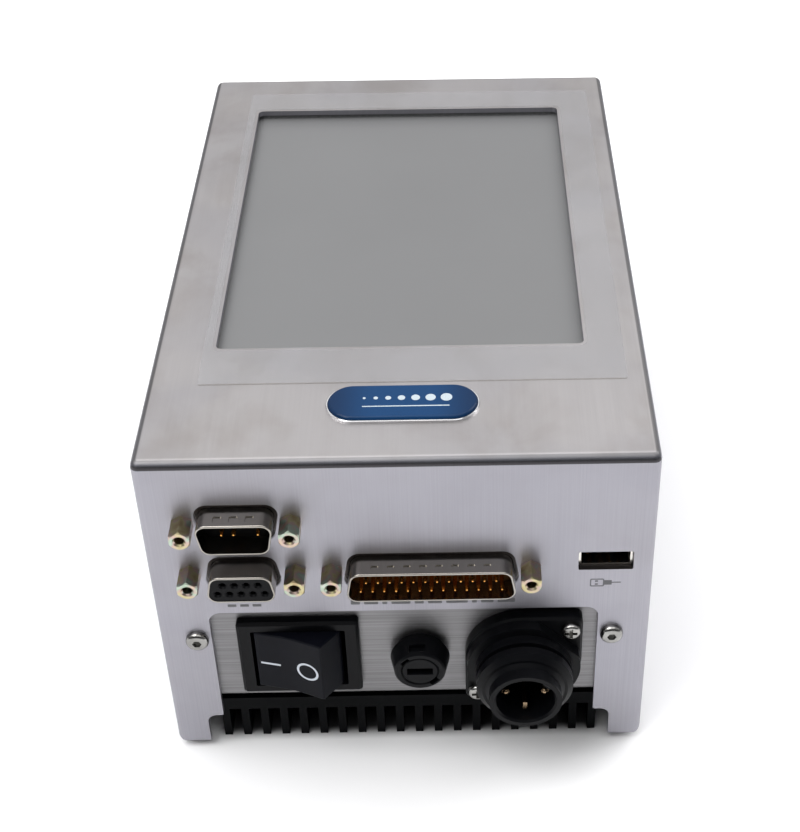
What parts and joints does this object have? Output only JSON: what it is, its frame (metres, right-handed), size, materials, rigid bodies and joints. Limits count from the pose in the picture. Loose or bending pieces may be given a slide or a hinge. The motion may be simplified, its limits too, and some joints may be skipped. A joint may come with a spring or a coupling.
{
  "type": "inkjet date coder controller",
  "caption": "Stainless touch-screen controller of a thermal inkjet date coder, on its finned heat sink, with mains inlet, fuse, rocker switch and signal ports at one end.",
  "frame": {"origin": "centre of the four mounting holes in the heat sink, on the plane of the fin tips and the cover's rim, which the unit rests on", "axes": "+Z out of the screen, +Y away from the connector end along the unit's length, +X to the right as seen from the connector end"},
  "size_m": [0.12, 0.1982, 0.0994],
  "materials": {
    "stainless": "brushed stainless sheet",
    "zinc_steel": "zinc-plated sheet",
    "fastener_steel": "bright plated screws",
    "zinc_yellow": "yellow zinc plating",
    "black_anodised": "black anodised aluminium",
    "aluminium": "mill finish",
    "foam": "closed-cell foam",
    "screen": "satin touch film over an unlit LCD",
    "lcd": "satin black",
    "clear_film": "thin clear film",
    "badge_rim": "polished",
    "badge_label": "clear resin over a dark blue print",
    "tin_shell": "tin plating",
    "black_plastic": "moulded, fine matt",
    "brown_plastic": "moulded",
    "rocker_plastic": "satin",
    "white_plastic": "moulded",
    "gold": "gold plating",
    "brass": "natural",
    "nickel": "nickel plating",
    "glass": "clear",
    "pcb": "green solder mask",
    "chip": "moulded epoxy",
    "ferrite": "sintered ferrite",
    "can": "sleeved aluminium can",
    "copper": "enamelled wire",
    "cell": "stainless can",
    "grey_cable": "flat cable",
    "wire": "PVC insulation"
  },
  "bodies": {
    "controller": {"outer_cover": "stainless", "cover_screws": "fastener_steel", "chassis_tray": "stainless", "heat_sink": "black_anodised", "heat_spreader": "aluminium", "window_gasket": "foam", "touch_panel": "screen", "lcd_module": "lcd", "lcd_bracket": "zinc_steel", "lcd_screws": "fastener_steel", "overlay_film": "clear_film", "badge_plate": "badge_rim", "badge_dome": "badge_label", "rs232_shell": "tin_shell", "rs232_insert": "black_plastic", "rs232_pins": "gold", "encoder_shell": "tin_shell", "encoder_insert": "black_plastic", "encoder_contacts": "gold", "printhead_shell": "tin_shell", "printhead_insert": "brown_plastic", "printhead_pins": "gold", "jackscrews": "zinc_yellow", "jackscrew_nuts": "zinc_yellow", "usb_shell": "tin_shell", "usb_tongue": "black_plastic", "usb_contacts": "gold", "switch_housing": "black_plastic", "switch_terminals": "brass", "fuse_holder_body": "black_plastic", "fuse_holder_nut": "black_plastic", "fuse_holder_terminals": "brass", "power_inlet_body": "black_plastic", "power_inlet_contacts": "gold", "power_inlet_screws": "fastener_steel", "io_board": "pcb", "main_board": "pcb", "main_board_chips": "chip", "main_board_headers": "white_plastic", "coin_cell_holder": "black_plastic", "coin_cell": "cell", "buzzer": "black_plastic", "psu_board": "pcb", "psu_transformer": "ferrite", "psu_capacitors": "can", "psu_choke": "copper", "psu_heat_bracket": "aluminium", "driver_board": "pcb", "driver_parts": "chip", "board_standoffs": "brass", "pan_screws": "fastener_steel", "flat_cables": "grey_cable", "mains_wiring": "wire"},
    "rocker": {"switch_rocker": "rocker_plastic", "switch_plunger": "brass"},
    "contact_lever": {"switch_contact_lever": "brass"},
    "fuse": {"fuse_end_caps": "nickel", "fuse_glass": "glass"},
    "fuse_cap": {"fuse_cap": "black_plastic"}
  },
  "joints": [
    {"name": "rocker_tilt", "type": "hinge", "parent": "controller", "child": "rocker", "pos_m": [-0.0261, -0.0861, 0.034], "axis": [0, 0, 1], "range_deg": [0, 35]},
    {"name": "contact_lever_tilt", "type": "hinge", "parent": "controller", "child": "contact_lever", "pos_m": [-0.0261, -0.0765, 0.034], "axis": [0, 0, 1], "range_deg": [-16, 0]},
    {"name": "fuse_slide", "type": "slide", "parent": "controller", "child": "fuse", "axis": [0, -1, 0], "range_m": [0, 0.03]},
    {"name": "fuse_cap_turn", "type": "hinge", "parent": "fuse", "child": "fuse_cap", "pos_m": [0.0036, -0.0958, 0.0335], "axis": [0, -1, 0], "range_deg": [0, 45]}
  ],
  "couplings": [
    {"joint": "contact_lever_tilt", "follows": "rocker_tilt", "ratio": -0.45}
  ]
}
